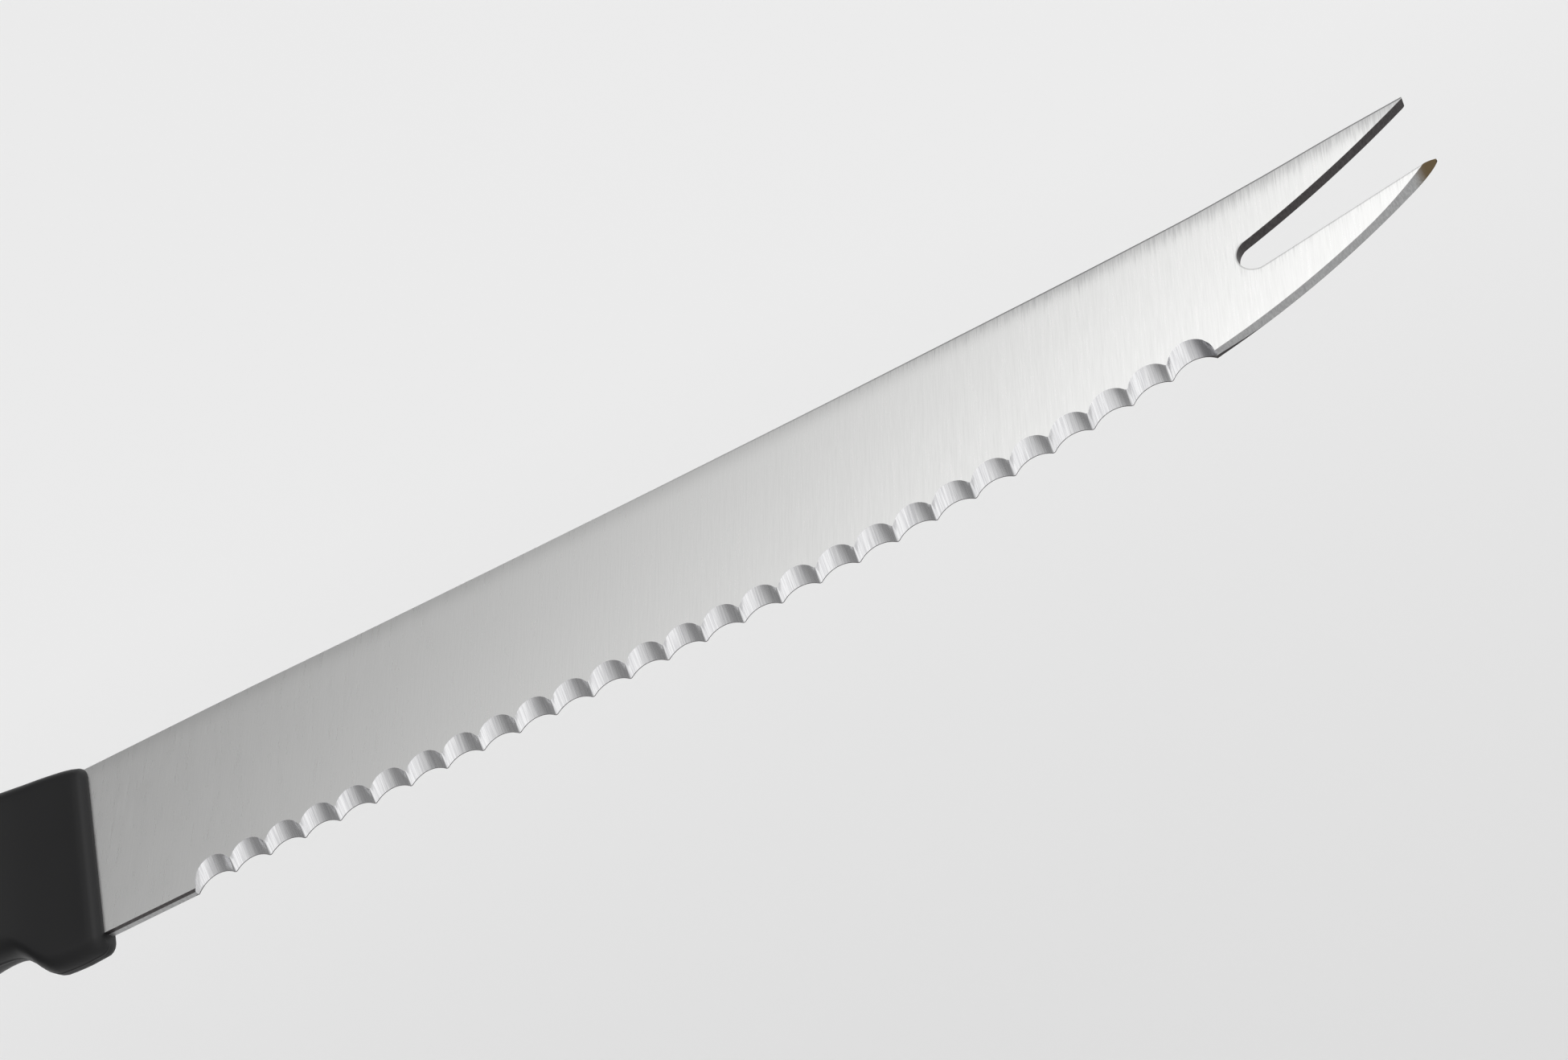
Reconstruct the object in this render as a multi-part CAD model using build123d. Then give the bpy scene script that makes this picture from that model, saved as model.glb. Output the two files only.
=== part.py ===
from build123d import *
import math
import os

# Tomato knife: a thin stamped blade with a ground serrated edge and a forked tip, in a moulded handle.
# While it is drawn, X runs from the handle's front face to the tip, Y from the edge to the spine, and Z
# out of the face that the serrations are ground into. Millimetres.

# Blade sizes
blade_length = 132.4
blade_thickness = 1.2
heel_height = 17.2
waist_drop = 1.08

# Spine: place along the blade, and how far it has dropped there as a share of the drop at the waist
spine_place_shares = (0.0, 0.12, 0.24, 0.36, 0.48, 0.62, 0.74, 0.842, 0.899, 0.955, 1.0)
spine_drop_shares = (0.0, 0.16, 0.47, 0.72, 0.9, 1.0, 0.99, 0.87, 0.55, 0.06, -0.23)

# Serrated edge, ground from one face. Each scallop is a hollow cone that narrows from the edge up to the
# face, so it is deeper, between lower ridges, where it meets the face.
scallop_count = 27
scallop_pitch = 3.7
edge_scallop_depth = 0.75
face_scallop_depth = 1.25
grind_width = 1.28
grind_slant = 0.25
ricasso_length = 9.8
ricasso_drop = 0.35
ricasso_corner = 0.4
belly_start = 59.8
belly_radius = 379.0
serration_end_drop = 0.35

# Forked tip
fork_depth = 17.55
fork_root_radius = 1.55
fork_root_height = 9.92
fork_upper_lean = 15.0
fork_lower_lean = 7.6
lower_tine_height = 10.5
tine_blunt = 0.2
upper_wall_bow = 0.35
lower_tine_bow = 0.86
tine_lean_share = 0.4

# Tang, hidden in the handle
tang_length = 100.0
tang_height = 11.5
tang_end_height = 8.0
tang_base = 2.9
keying_hole_radius = 2.5
keying_hole_place_shares = (0.16, 0.5, 0.84)

# Handle
handle_length = 118.0
handle_height = 22.5
neck_thickness = 3.2
grip_thickness = 12.2
cheek_thickness = 12.0
guard_drop = 2.12
handle_front_height = 18.0

# Rounded ends of the handle: quarter ellipses, measured along the knife, up its height and across it
front_round_along = 1.0
front_round_up = 0.9
front_round_across = 0.8
butt_round_along = 7.5
butt_round_up = 9.0
butt_round_across = 4.6

# Handle sections: place along its length, top and bottom as shares of its height above the front height
# and the guard, girth from the neck's thickness at 0 to the grip's at 1, and corners from square at 0 to
# round at 1
place_shares = (
    0.0, 0.012, 0.022, 0.044, 0.056, 0.067, 0.079, 0.092, 0.12, 0.165, 0.24, 0.38, 0.55, 0.71, 0.84, 0.93,
    1.0,
)
top_rise_shares = (
    -0.03, -0.008, 0.005, 0.023, 0.03, 0.037, 0.044, 0.052, 0.068, 0.09, 0.112, 0.13, 0.12, 0.082, 0.04,
    0.002, -0.04,
)
bottom_rise_shares = (
    0.0, 0.0, -0.002, 0.006, 0.043, 0.105, 0.155, 0.172, 0.182, 0.176, 0.145, 0.03, -0.05, -0.042, -0.01,
    -0.022, -0.055,
)
girth_shares = (
    0.0, 0.005, 0.012, 0.04, 0.06, 0.085, 0.125, 0.19, 0.47, 0.99, 1.0, 1.0, 1.0, 1.0, 1.0, 1.0, 1.0,
)
roundness_shares = (
    0.86, 0.86, 0.86, 0.86, 0.86, 0.86, 0.86, 0.86, 0.84, 0.82, 0.8, 0.8, 0.8, 0.8, 0.8, 0.82, 0.84,
)

# The moulding is drawn through this many sections for each of the places above, and for each rounded end
sections_per_place = 2
front_section_count = 3
butt_section_count = 6

# Every cut runs past the metal by this much
overrun = 1.0


def edge_height(place):
    """Height of the line of cusps at a place along the blade."""
    along = max(place - belly_start, 0)
    return belly_radius - math.sqrt(belly_radius**2 - along**2)


def edge_angle(place):
    """Lean of the line of cusps at a place along the blade, in degrees."""
    along = max(place - belly_start, 0)
    return math.degrees(math.asin(along / belly_radius))


serration_end = ricasso_length + scallop_count * scallop_pitch
serration_end_height = edge_height(serration_end) - serration_end_drop
belly_middle = (belly_start + serration_end) / 2


def lean_point(start, end, share, bow):
    """Point a share of the way from start to end, moved square to the chord by the bow, to its right."""
    chord = end - start
    square = Vector(chord.Y, -chord.X).normalized()
    return start + chord * share + square * bow


def blade_outline():
    """Outline of the sheet before grinding, with the tang."""
    spine = [
        Vector(blade_length * place, heel_height - waist_drop * drop)
        for place, drop in zip(spine_place_shares, spine_drop_shares)
    ]
    heel_top = spine[0]
    upper_tip = spine[-1]
    upper_tip_under = upper_tip - Vector(tine_blunt / 2, tine_blunt)

    root_x = blade_length - fork_depth + fork_root_radius
    root = Vector(root_x, fork_root_height)
    root_top = root + Vector(0, fork_root_radius).rotate(Axis.Z, fork_upper_lean)
    root_left = root - Vector(fork_root_radius, 0)
    root_bottom = root - Vector(0, fork_root_radius).rotate(Axis.Z, fork_lower_lean)
    lower_tip_top = Vector(blade_length, lower_tine_height)
    lower_tip = Vector(blade_length - tine_blunt / 2, lower_tine_height - tine_blunt)

    edge_end = Vector(serration_end, serration_end_height)
    belly_mid = Vector(belly_middle, edge_height(belly_middle))
    edge_flat_end = Vector(belly_start, 0)
    edge_start = Vector(ricasso_length, 0)
    ricasso_end = Vector(ricasso_length - ricasso_corner, -ricasso_drop)
    heel_bottom = Vector(0, -ricasso_drop)

    tang_bottom = tang_base
    tang_top = tang_base + tang_height
    tang_taper = (tang_height - tang_end_height) / 2
    with BuildLine() as line:
        Spline(*spine)
        Line(upper_tip, upper_tip_under)
        upper_mid = lean_point(upper_tip_under, root_top, 1 - tine_lean_share, -upper_wall_bow)
        ThreePointArc(upper_tip_under, upper_mid, root_top)
        ThreePointArc(root_top, root_left, root_bottom)
        Line(root_bottom, lower_tip_top)
        Line(lower_tip_top, lower_tip)
        lower_mid = lean_point(lower_tip, edge_end, 1 - tine_lean_share, -lower_tine_bow)
        ThreePointArc(lower_tip, lower_mid, edge_end)
        ThreePointArc(edge_end, belly_mid, edge_flat_end)
        Polyline(
            edge_flat_end,
            edge_start,
            ricasso_end,
            heel_bottom,
            Vector(0, tang_bottom),
            Vector(-tang_length, tang_bottom + tang_taper),
            Vector(-tang_length, tang_top - tang_taper),
            Vector(0, tang_top),
            heel_top,
        )
    return line


def flute(place):
    """Grinding cone that cuts one scallop, whose centre lies at a place along the edge."""
    edge_radius, face_radius = (
        ((scallop_pitch / 2) ** 2 + depth**2) / (2 * depth)
        for depth in (edge_scallop_depth, face_scallop_depth)
    )
    # shares of the way from the plain face to the ground one, for a cone that runs on past both
    past = overrun / blade_thickness
    circles = []
    for share in (-past, 1 + past):
        radius = edge_radius + (face_radius - edge_radius) * share
        top = edge_scallop_depth + grind_width * share
        height = blade_thickness * (share - 1 / 2)
        circles.append(Plane(origin=(grind_slant * share, top - radius, height)) * Circle(radius))
    cone = loft(circles, ruled=True)
    return Pos(place, edge_height(place)) * Rot(0, 0, edge_angle(place)) * cone


def build_blade():
    """The stamping: sheet cut to the outline, keying holes in the tang, then the ground scallops."""
    outline = blade_outline()
    sheet = extrude(make_face(outline.line), amount=blade_thickness / 2, both=True)
    for share in keying_hole_place_shares:
        hole = Cylinder(keying_hole_radius, blade_thickness + 2 * overrun)
        sheet -= Pos(-tang_length * share, tang_base + tang_height / 2, 0) * hole
    for number in range(scallop_count):
        sheet -= flute(ricasso_length + (number + 0.5) * scallop_pitch)
    return sheet.solid()


def smooth_share(shares, place_share):
    """Value of a table of shares at a place, on a smooth curve through the table that never overshoots."""
    number = max(i for i, known in enumerate(place_shares[:-1]) if known <= place_share)
    start, end = place_shares[number], place_shares[number + 1]
    slopes = []
    for here in (number, number + 1):
        if 0 < here < len(shares) - 1:
            before = (shares[here] - shares[here - 1]) / (place_shares[here] - place_shares[here - 1])
            after = (shares[here + 1] - shares[here]) / (place_shares[here + 1] - place_shares[here])
            slopes.append(2 * before * after / (before + after) if before * after > 0 else 0)
        else:
            slopes.append((shares[number + 1] - shares[number]) / (end - start))
    run = end - start
    t = (place_share - start) / run
    rise = shares[number + 1] - shares[number]
    return (
        shares[number]
        + rise * t**2 * (3 - 2 * t)
        + run * slopes[0] * t * (1 - t) ** 2
        - run * slopes[1] * t**2 * (1 - t)
    )


def handle_section(distance, inset_up=0, inset_across=0):
    """One section of the moulding, a rounded rectangle at a distance behind the handle's front face."""
    place_share = distance / handle_length
    top = handle_front_height + handle_height * smooth_share(top_rise_shares, place_share) - inset_up
    bottom = -guard_drop + handle_height * smooth_share(bottom_rise_shares, place_share) + inset_up
    girth = smooth_share(girth_shares, place_share)
    thickness = neck_thickness + (grip_thickness - neck_thickness) * girth - 2 * inset_across
    corner = min(thickness, top - bottom) / 2 * smooth_share(roundness_shares, place_share)
    plane = Plane(origin=(-distance, (top + bottom) / 2, 0), x_dir=(0, 1, 0), z_dir=(-1, 0, 0))
    return plane * RectangleRounded(top - bottom, thickness, corner)


def end_insets(count):
    """Shares of a quarter ellipse, from its tip: distance from the tip, and inset from the full section."""
    angles = [math.pi / 2 * (1 - step / count) for step in range(count)]
    return [(1 - math.sin(angle), 1 - math.cos(angle)) for angle in angles]


def handle_sections():
    """All sections of the moulding, from the front face to the butt."""
    sections = [
        handle_section(front_round_along * out, front_round_up * inset, front_round_across * inset)
        for out, inset in end_insets(front_section_count)
    ]
    for start, end in zip(place_shares, place_shares[1:]):
        for step in range(sections_per_place):
            distance = handle_length * (start + (end - start) * step / sections_per_place)
            if front_round_along <= distance < handle_length - butt_round_along:
                sections.append(handle_section(distance))
    sections.append(handle_section(handle_length - butt_round_along))
    sections += [
        handle_section(
            handle_length - butt_round_along * out, butt_round_up * inset, butt_round_across * inset
        )
        for out, inset in reversed(end_insets(butt_section_count))
    ]
    return sections


def build_handle(blade):
    """The moulding: grip drawn through its sections, flat cheeks, and the tang's own space inside."""
    grip = loft(Sketch() + handle_sections(), ruled=True)
    cheeks = Box(handle_length + 2 * overrun, handle_height * 2, cheek_thickness)
    grip &= Pos(-handle_length / 2, handle_height / 2, 0) * cheeks
    return (grip - blade).solid()


def main():
    """Build both pieces, stand the knife's box on its cheek at the origin, and write one file for each."""
    blade = build_blade()
    handle = build_handle(blade)
    box = blade.bounding_box().add(handle.bounding_box())
    middle = box.center()
    placed = Pos(-middle.X, -middle.Y, -box.min.Z)
    os.makedirs("parts", exist_ok=True)
    for name, piece in {"blade": blade, "handle": handle}.items():
        solid = placed * piece
        solid.label = name
        export_step(solid, f"parts/{name}.step")
        print(name, "volume", round(solid.volume, 1), solid.center(CenterOf.MASS), solid.bounding_box())


main()
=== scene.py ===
import logging
import math
from dataclasses import dataclass, field
from enum import Enum, IntEnum
from typing import Any

import bmesh
import bpy
from mathutils import Matrix, Vector

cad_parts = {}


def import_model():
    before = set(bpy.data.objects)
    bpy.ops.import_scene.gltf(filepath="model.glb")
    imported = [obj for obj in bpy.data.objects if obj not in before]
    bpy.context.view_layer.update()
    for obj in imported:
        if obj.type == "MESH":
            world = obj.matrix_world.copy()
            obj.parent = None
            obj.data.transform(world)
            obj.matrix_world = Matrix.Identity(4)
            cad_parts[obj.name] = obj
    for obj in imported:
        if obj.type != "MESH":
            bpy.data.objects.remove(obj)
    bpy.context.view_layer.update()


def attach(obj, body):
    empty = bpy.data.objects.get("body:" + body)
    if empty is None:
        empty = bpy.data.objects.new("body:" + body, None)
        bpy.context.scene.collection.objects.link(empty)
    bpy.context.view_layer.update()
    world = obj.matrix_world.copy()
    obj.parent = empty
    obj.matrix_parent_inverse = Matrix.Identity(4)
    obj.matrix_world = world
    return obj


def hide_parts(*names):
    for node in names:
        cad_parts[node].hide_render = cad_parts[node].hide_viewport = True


log = logging.getLogger("tomato_knife")

MM = 0.001
# Places closer than this many millimetres are the same, and points closer than this many metres are joined
TOUCH_MM = 1e-6
JOIN_M = 1e-7
# The maker's drawing has its origin at the handle's front, on the line of cusps, in the middle of the sheet.
# This is where that point lies in the shared frame, in millimetres.
DRAWING_ORIGIN = Vector((-7.2, -8.84, 6.0))

# Most of a noise lies between these values
NOISE_SPAN = (0.3, 0.7)

Colour = tuple[float, float, float, float]
Span = tuple[float, float]
Triple = tuple[float, float, float]


class StageColour(Enum):
    """Colours of the studio, as sRGB hex values."""

    FLOOR = "#F5F5F5"
    FLOOR_NEAR = "#E7E7E7"
    BACKDROP = "#E8E8E8"


class Slot(Enum):
    """Material slots of the part's record."""

    BLADE = "blade_steel"
    HANDLE = "handle_plastic"


class Finish(IntEnum):
    """Numbers of the blade's finishes, in the order that its mesh lists them."""

    FACE = 0
    HOLLOW = 1
    SHADED_WALL = 2
    LINISHED = 3
    SHADED_ARRIS = 4


def linear(hex_code: str) -> Colour:
    """Turn an sRGB hex value into the linear colour that a shader reads.

    Args:
        hex_code: Colour such as "#A0A0A0".

    Returns:
        Red, green, blue and an alpha of 1.
    """
    parts = [int(hex_code[i : i + 2], 16) / 255 for i in (1, 3, 5)]
    red, green, blue = (c / 12.92 if c <= 0.04045 else ((c + 0.055) / 1.055) ** 2.4 for c in parts)
    return red, green, blue, 1.0


def set_inputs(tree: bpy.types.NodeTree, node: Any, inputs: dict[Any, Any]) -> None:
    """Give a node's inputs their values and links.

    Args:
        tree: Node tree that the node is in.
        node: The node.
        inputs: Value or source socket for each input, by name or number.
    """
    for key, value in inputs.items():
        if isinstance(value, bpy.types.NodeSocket):
            tree.links.new(value, node.inputs[key])
        else:
            node.inputs[key].default_value = value


def add_node(
    tree: bpy.types.NodeTree, kind: str, inputs: dict[Any, Any] | None = None, **settings: Any
) -> Any:
    """Add one node, with its settings, its values and its links.

    Args:
        tree: Node tree that gets the node.
        kind: Blender's name for the kind of node.
        inputs: Value or source socket for each input, by name or number.
        settings: Attributes of the node itself.

    Returns:
        The new node.
    """
    node = tree.nodes.new(kind)
    for name, value in settings.items():
        setattr(node, name, value)
    set_inputs(tree, node, inputs or {})
    return node


def mix(tree: bpy.types.NodeTree, factor: Any, first: Any, second: Any, kind: str = "RGBA") -> Any:
    """Blend two colours or numbers.

    Args:
        tree: Node tree that gets the node.
        factor: Share of the second one.
        first: Hex value, number or socket.
        second: Hex value, number or socket.
        kind: Blender's name for the kind of value.

    Returns:
        Socket with the blend.
    """
    first, second = (linear(end) if isinstance(end, str) else end for end in (first, second))
    return add_node(
        tree, "ShaderNodeMix", {"Factor": factor, "A": first, "B": second}, data_type=kind
    ).outputs["Result"]


def spread(
    tree: bpy.types.NodeTree, value: Any, span: Span, onto: Span = (0.0, 1.0), **settings: Any
) -> Any:
    """Map one span of values on to another.

    Args:
        tree: Node tree that gets the node.
        value: Socket with the value.
        span: Start and end of the span.
        onto: What they become.
        settings: Attributes of the node itself.

    Returns:
        Socket with the mapped value.
    """
    inputs = {"Value": value, "From Min": span[0], "From Max": span[1], "To Min": onto[0], "To Max": onto[1]}
    return add_node(tree, "ShaderNodeMapRange", inputs, **settings).outputs["Result"]


def reckon(tree: bpy.types.NodeTree, operation: str, *values: Any) -> Any:
    """Do one sum on numbers and sockets."""
    return add_node(tree, "ShaderNodeMath", dict(enumerate(values)), operation=operation).outputs["Value"]


def attribute(tree: bpy.types.NodeTree, name: str) -> Any:
    """Read a value that the mesh keeps at each point."""
    return add_node(tree, "ShaderNodeAttribute", attribute_name=name).outputs["Fac"]


def turned(tree: bpy.types.NodeTree, angles: Any) -> Any:
    """Place on the object, turned so that one axis runs along the finish's lines."""
    where = add_node(tree, "ShaderNodeTexCoord").outputs["Object"]
    return add_node(
        tree, "ShaderNodeMapping", {"Vector": where, "Rotation": angles}, vector_type="POINT"
    ).outputs["Vector"]


def grain(tree: bpy.types.NodeTree, where: Any, sizes: Triple, detail: float, roughness: float) -> Any:
    """Noise with cells of a real size.

    Args:
        tree: Node tree that gets the nodes.
        where: Socket with the place.
        sizes: Size of a cell along each axis, in millimetres.
        detail: Number of finer layers.
        roughness: Strength of the finer layers.

    Returns:
        Socket with the noise.
    """
    scale = tuple(1 / (size * MM) for size in sizes)
    stretched = add_node(tree, "ShaderNodeMapping", {"Vector": where, "Scale": scale}, vector_type="POINT")
    return add_node(
        tree,
        "ShaderNodeTexNoise",
        {"Vector": stretched.outputs["Vector"], "Scale": 1.0, "Detail": detail, "Roughness": roughness},
    ).outputs["Fac"]


def relief(tree: bpy.types.NodeTree, height: Any, strength: float, depth_mm: float) -> Any:
    """Tilt the surface by a height that is so many millimetres deep."""
    return add_node(
        tree, "ShaderNodeBump", {"Height": height, "Strength": strength, "Distance": depth_mm * MM}
    ).outputs["Normal"]


def new_material(name: str) -> tuple[bpy.types.Material, Any, Any]:
    """Start a material with an empty tree, a shader and an output.

    Args:
        name: Name of the finish.

    Returns:
        The material, its tree and its Principled shader.
    """
    material = bpy.data.materials.new(name)
    material.use_nodes = True
    tree = material.node_tree
    tree.nodes.clear()
    shader = add_node(tree, "ShaderNodeBsdfPrincipled")
    add_node(tree, "ShaderNodeOutputMaterial", {"Surface": shader.outputs["BSDF"]})
    return material, tree, shader


@dataclass(frozen=True)
class BrushedSteel:
    """Stainless knife steel, drawn over a fine belt: close hairlines that stretch the light across them."""

    name: str = "stainless_steel_belt_brushed"
    light: str = "#E6E6E5"
    dark: str = "#DCDCDB"
    # where the belt runs off an arris it leaves coarser line ends, each of its own length; their darker
    # colour is painted shade of the dark band that the spine reflects
    run_off_and_shade: str = "#BEBEBE"
    run_off_mm: float = 2.0
    run_off_spread: float = 2.0
    run_off_least: float = 0.1
    run_off_fade: float = 1.3
    # the arris itself is rounded, and its dark line is painted shade
    arris_shade_colour: str = "#828282"
    arris_shade_mm: float = 0.16
    # the belt runs from the edge to the spine and leans this many degrees towards the tip
    grain_lean: float = 16.0
    roughness: float = 0.3
    roughness_change: float = 0.04
    anisotropy: float = 0.5
    # a 180 grit belt leaves lines 0.05 to 0.1 mm apart: drawn as 0.12 mm, the finest that shows
    line_mm: float = 0.12
    line_length_mm: float = 2.6
    # the belt's wider unevenness
    band_mm: float = 0.7
    band_length_mm: float = 9.0
    band_share: float = 0.2
    depth_mm: float = 0.004

    def material(self) -> bpy.types.Material:
        """Build the shader."""
        material, tree, shader = new_material(self.name)
        lean = math.radians(self.grain_lean)
        along = turned(tree, (0, 0, lean))
        lines = grain(tree, along, (self.line_mm, self.line_length_mm, self.line_length_mm), 3.0, 0.6)
        bands = grain(tree, along, (self.band_mm, self.band_length_mm, self.band_length_mm), 2.0, 0.6)
        both = mix(tree, self.band_share, lines, bands, "FLOAT")
        colour = mix(tree, spread(tree, both, NOISE_SPAN), self.dark, self.light)
        colour = self.add_run_off_and_shade(tree, lines, colour)
        change = self.roughness_change
        rough = spread(tree, both, NOISE_SPAN, (self.roughness + change, self.roughness - change))
        across = add_node(tree, "ShaderNodeCombineXYZ", {0: math.cos(lean), 1: -math.sin(lean), 2: 0.0})
        set_inputs(tree, shader, {
            "Base Color": colour, "Roughness": rough, "Normal": relief(tree, both, 0.12, self.depth_mm),
            "Tangent": across.outputs["Vector"], "Metallic": 1.0, "Anisotropic": self.anisotropy,
        })
        return material

    def add_run_off_and_shade(self, tree: bpy.types.NodeTree, lines: Any, colour: Any) -> Any:
        """Paint shade on the lines' ends next to an arris, and a painted dark line on the arris itself.

        Args:
            tree: The material's tree.
            lines: Socket with the hairlines.
            colour: Socket with the face's colour.

        Returns:
            Socket with the darkened colour.
        """
        size = self.run_off_mm
        gap, share = attribute(tree, "arris_gap"), attribute(tree, "run_off_and_shade")
        ragged = reckon(tree, "MULTIPLY_ADD", lines, self.run_off_spread * size, self.run_off_least * size)
        reach = reckon(tree, "MULTIPLY_ADD", share, size, size)
        past = reckon(tree, "SUBTRACT", reach, reckon(tree, "ADD", gap, ragged))
        ends = spread(tree, past, (0.0, self.run_off_fade * size), interpolation_type="SMOOTHSTEP")
        # painted shade: one dark line along the arris
        arris_shade_mask = spread(tree, gap, (self.arris_shade_mm / 2, self.arris_shade_mm), (1.0, 0.0))
        # painted shade over the ragged line ends
        colour = mix(tree, ends, colour, self.run_off_and_shade)
        return mix(tree, reckon(tree, "MULTIPLY", arris_shade_mask, share), colour, self.arris_shade_colour)


@dataclass(frozen=True)
class GroundSteel:
    """The same steel where a profiled wheel ground the scallops: bright, with streaks down each hollow."""

    name: str = "stainless_steel_wheel_ground"
    light: str = "#F0F0F1"
    dark: str = "#D2D2D4"
    # painted shade that darkens the last scallop towards its end
    painted_end_shade: str = "#B4B4B8"
    # the wheel's own travel, from the edge up to the face
    travel: Triple = (0.25, 1.28, 1.2)
    roughness: Span = (0.3, 0.15)
    # grinding streaks 0.1 mm apart and as long as the hollow: drawn as 0.13 mm, the finest that shows
    streak_mm: float = 0.13
    streak_length_mm: float = 6.0
    depth_mm: float = 0.012

    def material(self) -> bpy.types.Material:
        """Build the shader."""
        material, tree, shader = new_material(self.name)
        along = turned(tree, Vector(self.travel).rotation_difference(Vector((0, 1, 0))).to_euler())
        streaks = grain(tree, along, (self.streak_mm, self.streak_length_mm, 2 * self.streak_mm), 3.0, 0.65)
        colour = mix(tree, spread(tree, streaks, (0.32, 0.62)), self.dark, self.light)
        set_inputs(tree, shader, {
            # painted shade darkens the end of the last scallop
            "Base Color": mix(tree, attribute(tree, "painted_end_shade"), colour, self.painted_end_shade),
            "Roughness": spread(tree, streaks, NOISE_SPAN, self.roughness),
            "Normal": relief(tree, streaks, 0.4, self.depth_mm), "Metallic": 1.0,
        })
        return material


@dataclass(frozen=True)
class PunchedSteel:
    """The sheared wall that the press leaves round the outline: rougher than the brushed face, and its dark
    default colours are painted shade, a shaded copy of the wall's steel.
    """

    name: str = "stainless_steel_wall_painted_shade"
    # dark colours that are painted shade, standing for what the wall reflects
    light: str = "#565353"
    dark: str = "#403C3D"
    # colour blended in by the attribute: a painted highlight on the fork's wall, and a heat tint where
    # dressing heated the tip
    tint_and_sheen_colour: str = "#9C9A9A"
    roughness: float = 0.45
    # shear lines run through the sheet, about 0.15 mm apart and half a millimetre long
    shear_mm: float = 0.15
    shear_length_mm: float = 0.5
    depth_mm: float = 0.01

    def material(self) -> bpy.types.Material:
        """Build the shader."""
        material, tree, shader = new_material(self.name)
        where = add_node(tree, "ShaderNodeTexCoord").outputs["Object"]
        shear = grain(tree, where, (self.shear_mm, self.shear_mm, self.shear_length_mm), 3.0, 0.6)
        colour = mix(tree, spread(tree, shear, NOISE_SPAN), self.dark, self.light)
        set_inputs(tree, shader, {
            "Base Color": mix(tree, attribute(tree, "heat_tint_and_painted_sheen"), colour, self.tint_and_sheen_colour),
            "Normal": relief(tree, shear, 0.3, self.depth_mm), "Metallic": 1.0, "Roughness": self.roughness,
        })
        return material


@dataclass(frozen=True)
class MouldedPlastic:
    """Black polypropylene from a spark-eroded mould: a fine even grain that keeps every highlight soft."""

    name: str = "polypropylene_black_moulded"
    light: str = "#1A1A1B"
    dark: str = "#141415"
    roughness: Span = (0.43, 0.51)
    # the mould's grain is about 0.15 mm: drawn as 0.3 mm, the finest that shows
    grain_mm: float = 0.3
    depth_mm: float = 0.02
    # melt flow leaves patches a centimetre or two across that are barely lighter
    flow_mm: float = 14.0
    ior: float = 1.49
    specular: float = 0.28

    def material(self) -> bpy.types.Material:
        """Build the shader."""
        material, tree, shader = new_material(self.name)
        where = add_node(tree, "ShaderNodeTexCoord").outputs["Object"]
        pores, flow = (grain(tree, where, (size,) * 3, 2.0, 0.5) for size in (self.grain_mm, self.flow_mm))
        set_inputs(tree, shader, {
            "Base Color": mix(tree, flow, self.dark, self.light),
            "Roughness": spread(tree, flow, NOISE_SPAN, self.roughness),
            "Normal": relief(tree, pores, 0.35, self.depth_mm),
            "IOR": self.ior, "Specular IOR Level": self.specular,
        })
        return material


def in_frame(x: float, y: float, z: float) -> Vector:
    """Turn a point of the drawing, in millimetres, into the shared frame, in metres."""
    return (Vector((x, y, z)) + DRAWING_ORIGIN) * MM


def smooth_between(places: tuple[float, ...], values: tuple[float, ...], place: float) -> float:
    """Value of a table at a place, on a smooth curve through the table that never overshoots.

    Args:
        places: Rising places of the table.
        values: Value at each place.
        place: Where to read the curve.

    Returns:
        The value there.
    """
    place = min(max(place, places[0]), places[-1])
    number = max(i for i, known in enumerate(places[:-1]) if known <= place)
    run = places[number + 1] - places[number]
    rise = values[number + 1] - values[number]
    slopes = []
    for here in (number, number + 1):
        if 0 < here < len(places) - 1:
            before = (values[here] - values[here - 1]) / (places[here] - places[here - 1])
            after = (values[here + 1] - values[here]) / (places[here + 1] - places[here])
            slopes.append(2 * before * after / (before + after) if before * after > 0 else 0.0)
        else:
            slopes.append(rise / run)
    t = (place - places[number]) / run
    return (
        values[number]
        + rise * t * t * (3 - 2 * t)
        + run * slopes[0] * t * (1 - t) ** 2
        - run * slopes[1] * t * t * (1 - t)
    )


@dataclass(frozen=True)
class BowedLine:
    """A shallow bow between two points, given by how far it hangs below its chord at one share."""

    start: tuple[float, float]
    end: tuple[float, float]
    share: float
    bow: float

    def height(self, x: float) -> float:
        """Height of the bow at a place along the blade."""
        run, rise = self.end[0] - self.start[0], self.end[1] - self.start[1]
        # the bow is square to the chord, which leans, so it hangs a little further straight down
        deepest = self.bow * math.hypot(run, rise) / run / (self.share * (1 - self.share))
        along = (x - self.start[0]) / run
        return self.start[1] + rise * along - deepest * along * (1 - along)


@dataclass(frozen=True)
class Column:
    """One line of points up the blade, from the edge to the spine.

    Args:
        top_x: Place of its upper end along the blade.
        ground: Points of the ground surface or bottom wall, from the far face to the near one.
        band: Share of the way that the fork's band has been pulled on to the fork's root, 1 at the root.
        zone: Which surface the lower rows belong to.
    """

    top_x: float
    ground: tuple[Vector, ...]
    band: float
    zone: str


@dataclass
class Sheet:
    """The blade's mesh while it is modelled, with the layers that hold each point's column and row."""

    bm: bmesh.types.BMesh
    columns: list[Column]
    column_of: Any
    row_of: Any


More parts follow.
